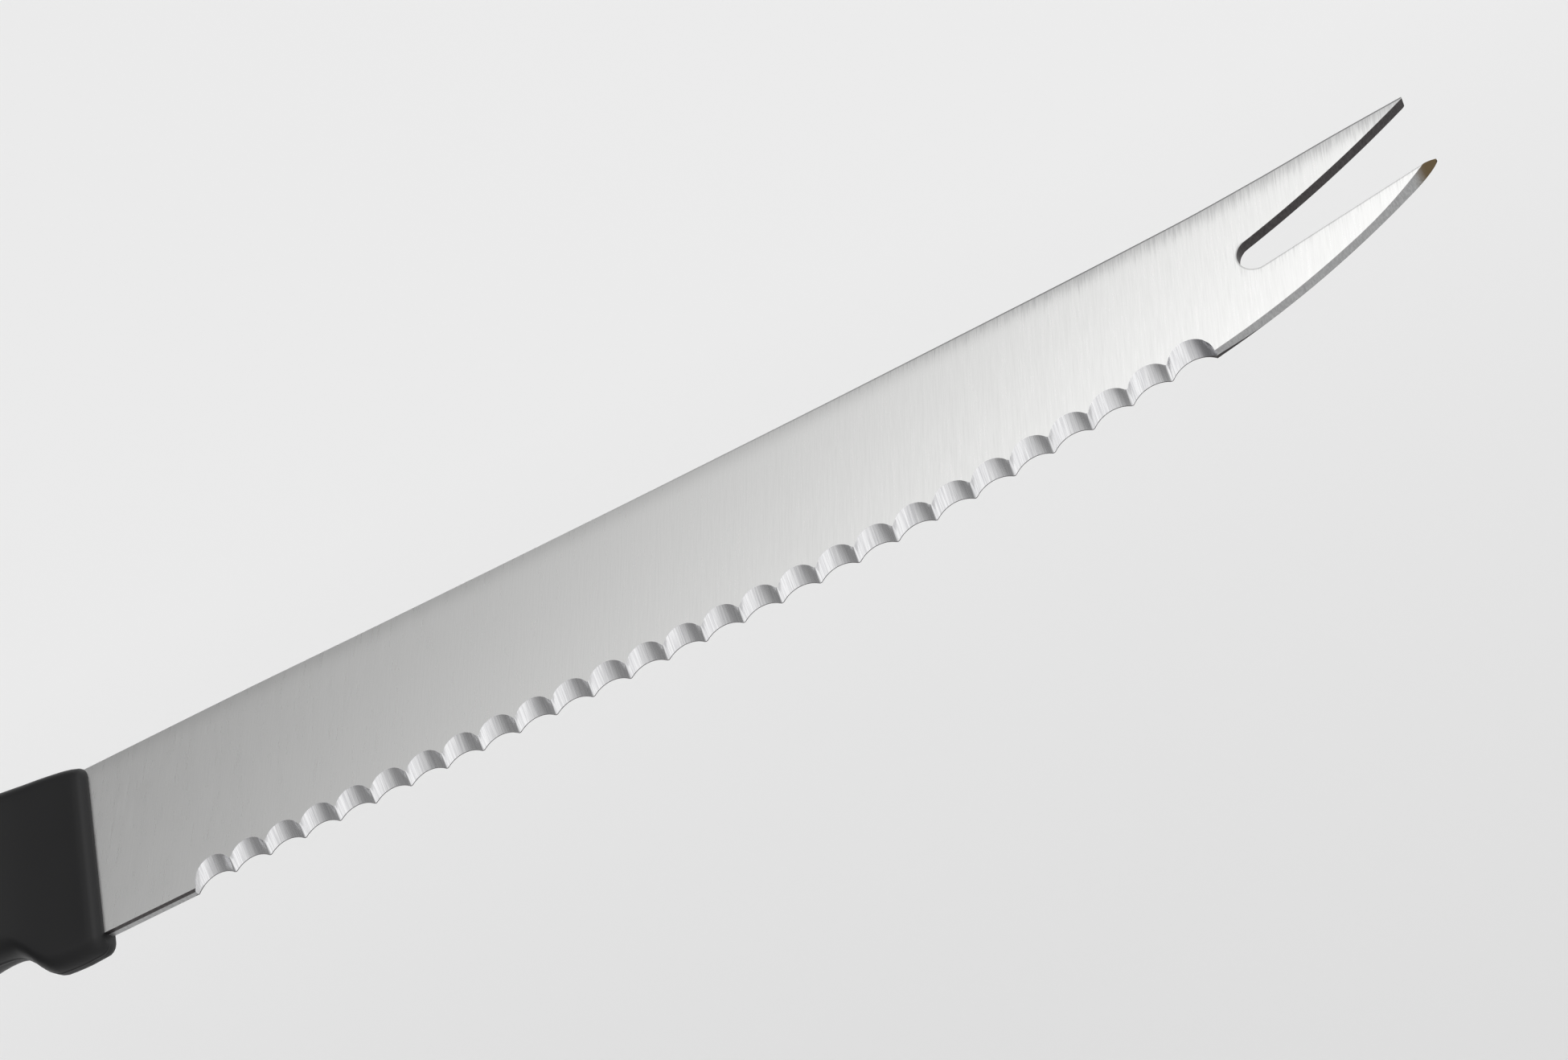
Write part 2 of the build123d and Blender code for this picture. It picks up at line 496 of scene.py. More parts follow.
@dataclass
class Blade:
    """The blade: brushed sheet, scallops ground from one face, and a forked tip. Sizes in millimetres."""

    length: float = 132.4
    thickness: float = 1.2
    heel_height: float = 17.2
    waist_drop: float = 1.08
    spine_places: tuple[float, ...] = (0.0, 0.12, 0.24, 0.36, 0.48, 0.62, 0.74, 0.842, 0.899, 0.955, 1.0)
    spine_drops: tuple[float, ...] = (0.0, 0.16, 0.47, 0.72, 0.9, 1.0, 0.99, 0.87, 0.55, 0.06, -0.23)
    scallops: int = 27
    pitch: float = 3.7
    edge_depth: float = 0.75
    face_depth: float = 1.25
    grind_width: float = 1.28
    grind_slant: float = 0.25
    ridge_round: float = 0.18
    # the honed land at the far side of the edge: fine along the scallops, wider where the last one runs out
    edge_land: float = 0.09
    end_land: float = 0.4
    end_land_length: float = 4.6
    land_growth: Span = (-0.5, 0.4)
    least_land: float = 0.02
    ricasso_length: float = 9.8
    ricasso_drop: float = 0.35
    belly_start: float = 59.8
    belly_radius: float = 379.0
    end_drop: float = 0.35
    fork_depth: float = 17.55
    fork_root_radius: float = 1.55
    fork_root_height: float = 9.92
    fork_upper_lean: float = 15.0
    fork_lower_lean: float = 7.6
    lower_tine_height: float = 10.5
    tine_blunt: float = 0.2
    upper_wall_bow: float = 0.35
    lower_tine_bow: float = 0.86
    tine_lean: float = 0.4
    edge_break: float = 0.1
    # the belt rolls off the face a little below the spine
    roll_depth: float = 0.04
    roll_width: float = 1.7
    # the tines are dressed to blunt points from the far face, the lower one also from the near face
    tip_dress: float = 0.7
    tip_dress_length: float = 2.4
    upper_dress: float = 0.14
    upper_dress_length: float = 0.16
    tip_rise: float = 0.72
    tip_rise_length: float = 8.0
    tip_fall: float = 0.4
    tip_fall_length: float = 1.3
    # dressing heated the lower tip: its tint is full after this share of the length
    heat_length: float = 2.3
    heat_growth: float = 0.45
    fork_run_off: float = 0.45
    # the belt ran off the spine's arris, with its painted shade, more and more from here on
    run_off_start: float = 52.0
    run_off_growth: float = 50.0
    fork_pull: float = 6.0
    # the fork's root wall gets a painted highlight from a little above its centre down, on the wall only
    painted_sheen_start: float = 0.35
    painted_sheen_length: float = 0.9
    painted_sheen_reach: float = 0.2
    # sharper corners than these are broken, and shaded as a crease
    arris_angle: float = 60.0
    crease_angle: float = 32.0

    # columns of the sheet: at the ricasso, at the end of the serration, and across each scallop
    heel_places: tuple[float, ...] = (-2.0, -1.0, 0.0, 1.5, 3.0, 4.5, 6.0, 7.2, 8.2, 8.8, 9.15)
    end_places: tuple[float, ...] = (
        110.6, 111.0, 111.5, 112.0, 112.6, 113.2, 113.8, 114.4, 115.0, 115.6, 116.1,
    )
    limb_steps: tuple[float, ...] = (0.2, 0.4, 0.6, 0.8, 1.0)
    scallop_columns: int = 14
    ridge_columns: int = 4
    column_slack: float = 0.01
    first_limb_place: float = 9.3
    limb_spacing: Span = (0.1, 0.12)
    # rows of the sheet: ground surface, up to the fork, across the fork, and up to the spine
    ground_rows: int = 8
    low_rows: int = 8
    band_rows: int = 22
    high_rows: int = 8
    tine_columns: int = 44
    # powers that gather the rows towards the fork and the spine, and the columns towards the tip
    low_gather: float = 1.3
    high_gather: float = 1.5
    tip_gather: float = 1.35
    # how much sooner than its height a row below the fork reaches its column's own place
    lean_haste: float = 1.6

    near_face: BrushedSteel = field(default_factory=BrushedSteel)
    hollows: GroundSteel = field(default_factory=GroundSteel)
    shaded_fork_wall: PunchedSteel = field(default_factory=PunchedSteel)
    dressed_wall: PunchedSteel = field(
        default_factory=lambda: PunchedSteel(
            "stainless_steel_linished_wall", "#C0C0C0", "#A2A2A3", "#6E5F48", roughness=0.42, shear_mm=0.12
        )
    )
    # the spine's rounded arris gets darker colours, painted shade of its thin dark line
    arris: PunchedSteel = field(
        default_factory=lambda: PunchedSteel(
            "stainless_steel_arris_painted_shade", "#8A8A8B", "#6E6E6F", "#8A8A8B", roughness=0.4, shear_mm=0.12
        )
    )

    @property
    def serration_end(self) -> float:
        """Place where the last scallop ends."""
        return self.ricasso_length + self.scallops * self.pitch

    @property
    def fork_x(self) -> float:
        """Place of the centre of the fork's root."""
        return self.length - self.fork_depth + self.fork_root_radius

    def edge_height(self, x: float) -> float:
        """Height of the line of cusps."""
        along = max(x - self.belly_start, 0.0)
        return self.belly_radius - math.sqrt(self.belly_radius**2 - along**2)

    def edge_angle(self, x: float) -> float:
        """Lean of the line of cusps, in radians."""
        return math.asin(max(x - self.belly_start, 0.0) / self.belly_radius)

    def spine_height(self, x: float) -> float:
        """Height of the spine."""
        drop = smooth_between(self.spine_places, self.spine_drops, max(x, 0.0) / self.length)
        return self.heel_height - self.waist_drop * drop

    def lower_tine(self) -> BowedLine:
        """Underside of the lower tine."""
        start = (self.serration_end, self.edge_height(self.serration_end) - self.end_drop)
        end = (self.length - self.tine_blunt / 2, self.lower_tine_height - self.tine_blunt)
        return BowedLine(start, end, self.tine_lean, self.lower_tine_bow)

    def upper_wall(self) -> BowedLine:
        """Underside of the upper tine, from the fork's root to the tip."""
        end = (self.length - self.tine_blunt / 2, self.spine_height(self.length) - self.tine_blunt)
        return BowedLine(self.root_point(1.0), end, 1 - self.tine_lean, self.upper_wall_bow)

    def root_point(self, share: float) -> tuple[float, float]:
        """Point of the fork's round root, from its lowest point at share 0 to its upper wall at share 1."""
        turn = math.radians(-90 + (180 - self.fork_upper_lean) * share)
        radius = self.fork_root_radius
        return self.fork_x - radius * math.cos(turn), self.fork_root_height + radius * math.sin(turn)

    def fork_bottom(self, x: float) -> float:
        """Height of the fork's lower wall, or of the same line run on under the solid sheet."""
        radius, lean = self.fork_root_radius, math.radians(self.fork_lower_lean)
        past = max(x - self.fork_x, 0.0)
        if past < radius * math.sin(lean):
            return self.fork_root_height - math.sqrt(radius**2 - past**2)
        start, low = self.fork_x + radius * math.sin(lean), self.fork_root_height - radius * math.cos(lean)
        return low + (self.lower_tine_height - low) * (x - start) / (self.length - start)

    def fork_top(self, x: float) -> float:
        """Height of the fork's upper wall, or of the same line run on over the solid sheet."""
        return self.upper_wall().height(x) if x > self.fork_x else self.root_point(1.0)[1]

    def hollow(self, across: float, share: float) -> float:
        """Height of a scallop above the line of cusps, at a distance from its middle, with rounded ridges."""
        radius, centre = self.hollow_circle(share)
        start = self.pitch / 2 - self.ridge_round
        out = min(abs(across), start)
        height = centre + math.sqrt(radius**2 - out**2)
        if abs(across) > start:
            slope = out / math.sqrt(radius**2 - out**2)
            past = abs(across) - start
            height -= slope * (past - past**2 / (2 * self.ridge_round))
        return height

    def hollow_circle(self, share: float) -> tuple[float, float]:
        """Radius of a scallop, and the height of its centre, at a share of the way to the near face."""
        half = self.pitch / 2
        radii = [(half**2 + d**2) / (2 * d) for d in (self.edge_depth, self.face_depth)]
        radius = radii[0] + (radii[1] - radii[0]) * share
        return radius, self.edge_depth + self.grind_width * share - radius

    def ground_point(self, x: float, across: float, height: float, share: float) -> Vector:
        """Point of the ground surface, from its place along the line of cusps.

        Args:
            x: Place of the nearest point of the line of cusps.
            across: Distance on from there, along the line.
            height: Height above the line.
            share: Share of the way from the far face to the near one.

        Returns:
            The point, in the drawing.
        """
        lean = self.edge_angle(x)
        along = across + self.grind_slant * share
        place = x + along * math.cos(lean) - height * math.sin(lean)
        rise = along * math.sin(lean) + height * math.cos(lean)
        return Vector((place, self.edge_height(x) + rise, self.share_depth(place, share)))

    def land(self, x: float) -> float:
        """Width of the honed land at a place along the blade."""
        past = x - self.serration_end
        start, full = self.land_growth
        if past < start:
            return self.edge_land
        if past < full:
            share = (past - start) / (full - start)
            return self.edge_land + (self.end_land - self.edge_land) * share * share * (3 - 2 * share)
        return max(self.least_land, self.end_land * (1 - (past - full) / self.end_land_length))

    def far_depth(self, x: float, upper: bool = False) -> float:
        """Place of the far face across the sheet, which is dressed away at the tips of the tines."""
        depth, reach = (
            (self.upper_dress, self.upper_dress_length) if upper else (self.tip_dress, self.tip_dress_length)
        )
        share = min(max((x - self.length) / reach + 1, 0.0), 1.0)
        return -self.thickness / 2 + depth * (1 - math.sqrt(1 - share**2))

    def share_depth(self, x: float, share: float) -> float:
        """Place across the sheet at a share of the way from the land at the far face to the near face."""
        start = self.far_depth(x) + self.land(x)
        return start + (self.thickness / 2 - self.nose_fall(x) - start) * share

    def nose_fall(self, x: float) -> float:
        """How far the lower tine's near face is dressed away at its tip."""
        return self.tip_fall * max(0.0, (x - self.length) / self.tip_fall_length + 1) ** 2

    def near_depth(self, x: float, y: float) -> float:
        """Place of the near face across the sheet, which rolls off below the spine."""
        if self.on_lower_tine(x, y):
            return self.thickness / 2 - self.nose_fall(x)
        roll = max(0.0, 1 - (self.spine_height(x) - y) / self.roll_width) ** 2
        return self.thickness / 2 - self.roll_depth * roll

    def on_lower_tine(self, x: float, y: float) -> bool:
        """Whether a point lies on the lower tine or below its line."""
        return y <= self.fork_bottom(x) + TOUCH_MM

    def arris_gap(self, x: float, y: float) -> float:
        """Distance in millimetres from the nearest arris that the belt ran off."""
        return max(0.0, min(self.spine_height(x) - y, self.fork_gap(x, y)))

    def fork_gap(self, x: float, y: float) -> float:
        """Distance from the fork's root, or down from the lower tine's top."""
        if x < self.fork_x:
            return math.hypot(x - self.fork_x, y - self.fork_root_height) - self.fork_root_radius
        return self.fork_bottom(x) - y if self.on_lower_tine(x, y) else self.spine_height(x)

    def run_off_and_shade(self, x: float, y: float) -> float:
        """Share of the belt's run-off and its painted shade at the nearest arris: more towards the tip, less
        round the fork.
        """
        if self.fork_gap(x, y) < self.spine_height(x) - y:
            return self.fork_run_off
        return min(1.0, max(0.0, (x - self.run_off_start) / self.run_off_growth))

    def heat_tint_and_painted_sheen(self, x: float, y: float) -> float:
        """Share of the blended colour: a painted highlight on the side of the fork's root, and the lower
        tip's heat tint from its dressing.
        """
        if x > self.length - self.heat_length and self.on_lower_tine(x, y):
            return min(1.0, (x - self.length + self.heat_length) / (self.heat_growth * self.heat_length))
        # painted highlight on the wall round the fork's root
        if math.hypot(x - self.fork_x, y - self.fork_root_height) < self.fork_root_radius + self.painted_sheen_reach:
            return min(1.0, max(0.0, (self.fork_root_height + self.painted_sheen_start - y) / self.painted_sheen_length))
        return 0.0

    def painted_end_shade(self, x: float) -> float:
        """Share of painted shade over the second half of the last scallop, full at its end."""
        return min(1.0, max(0.0, 1 - (self.serration_end - x) / (0.5 * self.pitch)))

    def band_pull(self, x: float) -> float:
        """How far the fork's band has been pulled on to its root, from 0 far away to 1 at the root."""
        away = self.fork_x - x
        return 1.0 if away <= 0 else max(0.0, 1 - away / self.fork_pull) ** 2

    def limb(self, middle: float, side: float, step: float, share: float, end_height: float) -> Vector:
        """Point on the outer limb of the first or last scallop, where no neighbour meets it.

        Args:
            middle: Place of the scallop's middle.
            side: -1 towards the handle, 1 towards the tip.
            step: Share of the way down the limb.
            share: Share of the way from the far face to the near one.
            end_height: Height at which the limb ends.

        Returns:
            The point, in the drawing.
        """
        radius, centre = self.hollow_circle(share)
        start = centre + math.sqrt(radius**2 - (self.pitch / 2) ** 2)
        height = start + (end_height - start) * step
        out = radius if height <= centre else math.sqrt(radius**2 - (height - centre) ** 2)
        return self.ground_point(middle, side * out, height, share)

    def columns(self) -> list[Column]:
        """All columns of the sheet, from the heel to the tip."""
        shares = [row / self.ground_rows for row in range(self.ground_rows + 1)]
        columns = []

        def plain(x: float, height: float, rise: float, zone: str) -> None:
            ground = tuple(Vector((x, height + rise * share, self.share_depth(x, share))) for share in shares)
            columns.append(Column(x, ground, self.band_pull(x), zone))

        def limb(middle: float, side: float, step: float, end_height: float) -> tuple[Vector, ...]:
            return tuple(self.limb(middle, side, step, share, end_height) for share in shares)

        for x in self.heel_places:
            plain(x, -self.ricasso_drop, 0.0, "ricasso")

        first = self.ricasso_length + self.pitch / 2
        for number, step in enumerate(reversed(self.limb_steps)):
            top_x = self.first_limb_place + self.limb_spacing[0] * number
            columns.append(Column(top_x, limb(first, -1, step, -self.ricasso_drop), 0.0, "ground"))

        edge = self.pitch / 2 - self.ridge_round
        ridge = [self.ridge_round * k / self.ridge_columns for k in range(self.ridge_columns)]
        offsets = [-self.pitch / 2 + step for step in ridge]
        offsets += [-edge + 2 * edge * k / self.scallop_columns for k in range(self.scallop_columns + 1)]
        offsets += [edge + step for step in ridge[1:]]
        limit = self.serration_end - self.ridge_round + self.column_slack
        for number in range(self.scallops):
            middle = first + number * self.pitch
            for offset in offsets:
                x = middle + offset
                if (number == 0 and offset < -edge) or x >= limit:
                    continue
                heights = [self.hollow(offset, share) for share in shares]
                ground = tuple(self.ground_point(x, 0.0, *pair) for pair in zip(heights, shares))
                columns.append(Column(x, ground, self.band_pull(x), "ground"))

        last = first + (self.scallops - 1) * self.pitch
        for number, step in enumerate(self.limb_steps):
            top_x = self.serration_end - self.limb_spacing[0] + self.limb_spacing[1] * number
            ground = limb(last, 1, step, -self.end_drop)
            zone = "ground" if step < 1 else "underside"
            columns.append(Column(top_x, ground, self.band_pull(top_x), zone))

        under = self.lower_tine()
        tines = self.fork_x + self.fork_root_radius * math.sin(math.radians(self.fork_lower_lean))
        places = [*self.end_places, self.fork_x, (self.fork_x + tines) / 2]
        for k in range(self.tine_columns + 1):
            share = 1 - (1 - k / self.tine_columns) ** self.tip_gather
            places.append(tines + (self.length - tines) * share)
        for x in places:
            height = under.height(min(x, self.length - self.tine_blunt / 2))
            rise = self.tip_rise * max(0.0, (x - self.length) / self.tip_rise_length + 1) ** 2
            # the dressed underside runs up until it meets the top of the tine
            plain(x, height, min(rise, self.fork_bottom(x) - height) if x > self.fork_x else 0.0, "underside")
        return columns

    def near_point(self, column: Column, row: int) -> Vector:
        """Point of the near sheet and bottom wall, with rows from the far side of the edge to the spine."""
        if row <= self.ground_rows:
            return column.ground[row].copy()
        x, y = self.face_place(column, column.ground[-1], row - self.ground_rows, self.low_rows)
        return Vector((x, y, self.near_depth(x, y)))

    def face_place(self, column: Column, start: Vector, row: int, low_rows: int) -> tuple[float, float]:
        """Place in the sheet's plane of a row above the edge.

        Args:
            column: Its column.
            start: Lowest point of the column on this face.
            row: Number of rows up from there.
            low_rows: Rows below the fork's band.

        Returns:
            Place along the blade, and height.
        """
        x = column.top_x
        bottom, top = self.fork_bottom(x), self.fork_top(x)
        if row < low_rows:
            share = 1 - (1 - row / low_rows) ** self.low_gather
            lean = min(1.0, share * self.lean_haste)
            return start.x + (x - start.x) * lean, start.y + (bottom - start.y) * share
        row -= low_rows
        if row <= self.band_rows:
            if x <= self.fork_x:
                place, height = self.root_point(row / self.band_rows)
                return x + (place - self.fork_x) * column.band, height
            return x, bottom + (top - bottom) * row / self.band_rows
        row -= self.band_rows
        share = row / self.high_rows
        if x >= self.length - TOUCH_MM and row == 0:
            x -= self.tine_blunt / 2
        return x, top + (self.spine_height(x) - top) * (1 - (1 - share) ** self.high_gather)

    def far_point(self, column: Column, row: int) -> Vector:
        """Point of the far sheet, which is flat down to the edge, with rows counted as on the near one."""
        x, y = self.face_place(column, column.ground[0], row, self.ground_rows + self.low_rows)
        return Vector((x, y, self.far_depth(x, not self.on_lower_tine(x, y))))

    def build(self) -> bpy.types.Object:
        """Model the blade as one closed mesh.

        Returns:
            The blade, riding on the knife's body and standing for the blade's solid.
        """
        sheet = self.lay_sheet()
        bm = sheet.bm
        self.paint_near(sheet)
        self.open_fork(sheet)
        self.place_near(sheet)
        self.add_far(sheet)
        bmesh.ops.remove_doubles(bm, verts=bm.verts[:], dist=JOIN_M)
        bmesh.ops.recalc_face_normals(bm, faces=bm.faces[:])
        rounds = self.break_edges(sheet)
        log.info("broke edges into %d faces", len(rounds))
        self.shade(bm, rounds)
        return finish_piece(
            bm, "blade_ground_and_brushed",
            [self.near_face, self.hollows, self.shaded_fork_wall, self.dressed_wall, self.arris],
            "blade",
        )

    @property
    def rows(self) -> int:
        """Rows of the sheet from the edge to the spine."""
        return self.ground_rows + self.low_rows + self.band_rows + self.high_rows

    def lay_sheet(self) -> Sheet:
        """Lay a flat grid that has a number for each point's column and row."""
        columns = self.columns()
        bm = bmesh.new()
        sheet = Sheet(bm, columns, bm.verts.layers.int.new("column"), bm.verts.layers.int.new("row"))
        bmesh.ops.create_grid(bm, x_segments=len(columns) - 1, y_segments=self.rows, size=0.5)
        for vert in bm.verts:
            vert[sheet.column_of] = round((vert.co.x + 0.5) * (len(columns) - 1))
            vert[sheet.row_of] = round((vert.co.y + 0.5) * self.rows)
        return sheet

    def paint_near(self, sheet: Sheet) -> None:
        """Give the near face, the scallops and the bottom wall their finishes."""
        for face in sheet.bm.faces:
            up = min(v[sheet.row_of] for v in face.verts)
            zone = sheet.columns[min(v[sheet.column_of] for v in face.verts)].zone
            if up >= self.ground_rows:
                face.material_index = Finish.FACE
            elif zone == "ground":
                face.material_index = Finish.HOLLOW
            else:
                # the wall next to the near face gets the wall's dark painted shade, and the pale linished
                # copy beyond
                shaded = zone == "ricasso" and up >= self.ground_rows // 2
                face.material_index = Finish.SHADED_WALL if shaded else Finish.LINISHED

    def open_fork(self, sheet: Sheet) -> None:
        """Take out the faces between the two tines."""
        start = self.ground_rows + self.low_rows
        root = next(i for i, c in enumerate(sheet.columns) if abs(c.top_x - self.fork_x) < TOUCH_MM)

        def between(vert: bmesh.types.BMVert) -> bool:
            return vert[sheet.column_of] >= root and start <= vert[sheet.row_of] <= start + self.band_rows

        gap = [face for face in sheet.bm.faces if all(between(v) for v in face.verts)]
        bmesh.ops.delete(sheet.bm, geom=gap, context="FACES")

    def place_near(self, sheet: Sheet) -> None:
        """Move the grid to its near shape, and keep what the finishes read at each point."""
        layers = sheet.bm.verts.layers.float
        arris_of, run_off_of, tint_and_sheen_of, end_shade_of = (
            layers.new(name) for name in ("arris_gap", "run_off_and_shade", "heat_tint_and_painted_sheen", "painted_end_shade")
        )
        for vert in sheet.bm.verts:
            place = self.near_point(sheet.columns[vert[sheet.column_of]], vert[sheet.row_of])
            vert[arris_of] = self.arris_gap(place.x, place.y)
            vert[run_off_of] = self.run_off_and_shade(place.x, place.y)
            vert[tint_and_sheen_of] = self.heat_tint_and_painted_sheen(place.x, place.y)
            vert[end_shade_of] = self.painted_end_shade(place.x)
            vert.co = in_frame(*place)

    def add_far(self, sheet: Sheet) -> None:
        """Draw the near face through to the far one, and give the far face and the walls their finishes."""
        near_faces = list(sheet.bm.faces)
        grown = bmesh.ops.extrude_face_region(sheet.bm, geom=near_faces, use_keep_orig=True)["geom"]
        far_faces = [g for g in grown if isinstance(g, bmesh.types.BMFace)]
        for vert in (g for g in grown if isinstance(g, bmesh.types.BMVert)):
            column = sheet.columns[vert[sheet.column_of]]
            vert.co = in_frame(*self.far_point(column, vert[sheet.row_of]))
        for face in far_faces:
            face.material_index = Finish.FACE
        known = set(near_faces) | set(far_faces)
        for face in (f for f in sheet.bm.faces if f not in known):
            # the honed land and the fork's walls get the wall's dark painted shade; the spine gets the pale
            # linished copy
            rows = {v[sheet.row_of] for v in face.verts}
            zones = {sheet.columns[v[sheet.column_of]].zone for v in face.verts}
            pale = rows == {self.rows} or (rows == {0} and zones == {"ricasso"})
            face.material_index = Finish.LINISHED if pale else Finish.SHADED_WALL

    def shade(self, bm: bmesh.types.BMesh, rounds: set[bmesh.types.BMFace]) -> None:
        """Finish the broken arrises, and shade the blade smooth between its creases."""
        for face in rounds:
            # rounds facing the spine get the arris's painted shade, the others the wall's painted shade
            face.material_index = Finish.SHADED_ARRIS if face.normal.y > 0 else Finish.SHADED_WALL
        for face in bm.faces:
            face.smooth = True
        for edge in bm.edges:
            if len(edge.link_faces) != 2:
                continue
            one, other = (face in rounds for face in edge.link_faces)
            if one != other or edge.calc_face_angle(0.0) > math.radians(self.crease_angle):
                edge.smooth = False

    def break_edges(self, sheet: Sheet) -> set[bmesh.types.BMFace]:
        """Break the spine's and the fork's arrises with a small round, as tumbling does.

        Args:
            sheet: The blade's closed mesh.

        Returns:
            The faces of the rounds.
        """
        chosen = []
        for edge in sheet.bm.edges:
            if len(edge.link_faces) != 2 or edge.calc_face_angle(0.0) < math.radians(self.arris_angle):
                continue
            if all(v[sheet.row_of] > self.ground_rows + 1 for v in edge.verts):
                chosen.append(edge)
        made = bmesh.ops.bevel(
            sheet.bm, geom=chosen, offset=self.edge_break * MM, offset_type="OFFSET", segments=3, profile=0.5,
            affect="EDGES", clamp_overlap=True, material=-1,
        )
        return set(made["faces"])


def put_in_scene(name: str, data: Any) -> bpy.types.Object:
    """Make an object of a mesh, camera or lamp, and put it in the scene."""
    thing = bpy.data.objects.new(name, data)
    bpy.context.scene.collection.objects.link(thing)
    return thing


def finish_piece(
    bm: bmesh.types.BMesh, name: str, finishes: list[Any], node: str
) -> bpy.types.Object:
    """Turn a mesh into a piece of the knife.

    Args:
        bm: The mesh, in the shared frame.
        name: The piece's name.
        finishes: Its finishes, in the order of the faces' material numbers.
        node: The node of the model that it stands for.

    Returns:
        The piece.
    """
    mesh = bpy.data.meshes.new(name)
    bm.to_mesh(mesh)
    bm.free()
    for finish in finishes:
        mesh.materials.append(finish.material())
    piece = put_in_scene(name, mesh)
    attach(piece, "root")
    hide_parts(node)
    return piece


@dataclass
class Handle:
    """The moulded handle, from its thin front around the blade to the round butt. Sizes in millimetres."""

    length: float = 118.0
    height: float = 22.5
    neck_thickness: float = 3.2
    grip_thickness: float = 12.2
    cheek_thickness: float = 12.0
    guard_drop: float = 2.12
    front_height: float = 18.0
    front_round: Triple = (1.0, 0.9, 0.8)
    butt_round: Triple = (7.5, 9.0, 4.6)
    places: tuple[float, ...] = (
        0.0, 0.012, 0.022, 0.044, 0.056, 0.067, 0.079, 0.092, 0.12, 0.165, 0.24, 0.38, 0.55, 0.71, 0.84, 0.93,
        1.0,
    )
    tops: tuple[float, ...] = (
        -0.03, -0.008, 0.005, 0.023, 0.03, 0.037, 0.044, 0.052, 0.068, 0.09, 0.112, 0.13, 0.12, 0.082, 0.04,
        0.002, -0.04,
    )
    bottoms: tuple[float, ...] = (
        0.0, 0.0, -0.002, 0.006, 0.043, 0.105, 0.155, 0.172, 0.182, 0.176, 0.145, 0.03, -0.05, -0.042, -0.01,
        -0.022, -0.055,
    )
    girths: tuple[float, ...] = (
        0.0, 0.005, 0.012, 0.04, 0.06, 0.085, 0.125, 0.19, 0.47, 0.99, 1.0, 1.0, 1.0, 1.0, 1.0, 1.0, 1.0,
    )
    roundness: tuple[float, ...] = (
        0.86, 0.86, 0.86, 0.86, 0.86, 0.86, 0.86, 0.86, 0.84, 0.82, 0.8, 0.8, 0.8, 0.8, 0.8, 0.82, 0.84,
    )
    # where the two halves of the mould met, a fine raised line runs round the handle's back and belly
    parting_height: float = 0.05
    parting_width: float = 0.22
    # how far the line's middle and its flank stand up
    parting_lifts: Span = (1.0, 0.7)
    corner_steps: int = 9
    side_steps: int = 6
    # sections of the front round, of the butt, and between them at about this spacing
    front_steps: int = 6
    butt_steps: int = 14
    least_steps: int = 3
    section_spacing: float = 1.2
    crease_angle: float = 40.0
    finish: MouldedPlastic = field(default_factory=MouldedPlastic)

    def section(self, distance: float, inset_up: float, inset_across: float) -> list[tuple[float, float]]:
        """Points round one section, a rounded rectangle.

        Args:
            distance: Distance behind the front face.
            inset_up: How far its top and bottom are drawn in.
            inset_across: How far each side is drawn in.

        Returns:
            Height and place across the handle of each point, always the same number of points.
        """
        share = distance / self.length
        top = self.front_height + self.height * smooth_between(self.places, self.tops, share) - inset_up
        bottom = -self.guard_drop + self.height * smooth_between(self.places, self.bottoms, share) + inset_up
        girth = smooth_between(self.places, self.girths, share)
        swell = (self.grip_thickness - self.neck_thickness) * girth
        thickness = self.neck_thickness + swell - 2 * inset_across
        corner = min(thickness, top - bottom) / 2 * smooth_between(self.places, self.roundness, share)
        half_up, half_across = (top - bottom) / 2 - self.parting_height, thickness / 2
        # from the middle of the back, over a corner, to the middle of the side
        flat, line = half_across - corner, self.parting_width / 2
        quarter = [(half_up, place) for place in (0.0, line * 0.5, line, max(line * 1.5, flat))]
        for step in range(1, self.corner_steps + 1):
            angle = math.pi / 2 * step / self.corner_steps
            quarter.append((half_up - corner + corner * math.cos(angle), flat + corner * math.sin(angle)))
        for step in range(1, self.side_steps):
            quarter.append(((half_up - corner) * (1 - step / self.side_steps), half_across))
        # the parting line stands up in the middle
        for number, lift in enumerate(self.parting_lifts):
            quarter[number] = (half_up + self.parting_height * lift, quarter[number][1])
        points = [*quarter, (0.0, half_across)]
        points += [(-up, across) for up, across in reversed(quarter)]
        points += [(-up, -across) for up, across in quarter[1:]]
        points.append((0.0, -half_across))
        points += [(up, -across) for up, across in reversed(quarter[1:])]
        centre = (top + bottom) / 2
        limit = self.cheek_thickness / 2
        return [(centre + up, max(-limit, min(limit, across))) for up, across in points]

    def stations(self) -> list[tuple[float, float, float]]:
        """Distance and insets of every section, from the front face to the butt."""
        stations = []
        along, up, across = self.front_round
        for step in range(self.front_steps):
            angle = math.pi / 2 * (1 - step / self.front_steps)
            inset = 1 - math.cos(angle)
            stations.append((along * (1 - math.sin(angle)), up * inset, across * inset))
        back_along, back_up, back_across = self.butt_round
        for start, end in zip(self.places, self.places[1:]):
            count = max(self.least_steps, round((end - start) * self.length / self.section_spacing))
            for step in range(count):
                distance = self.length * (start + (end - start) * step / count)
                if along <= distance < self.length - back_along:
                    stations.append((distance, 0.0, 0.0))
        for step in range(self.butt_steps + 1):
            angle = math.pi / 2 * step / self.butt_steps
            inset = 1 - math.cos(angle)
            stations.append(
                (self.length - back_along * (1 - math.sin(angle)), back_up * inset, back_across * inset)
            )
        return stations

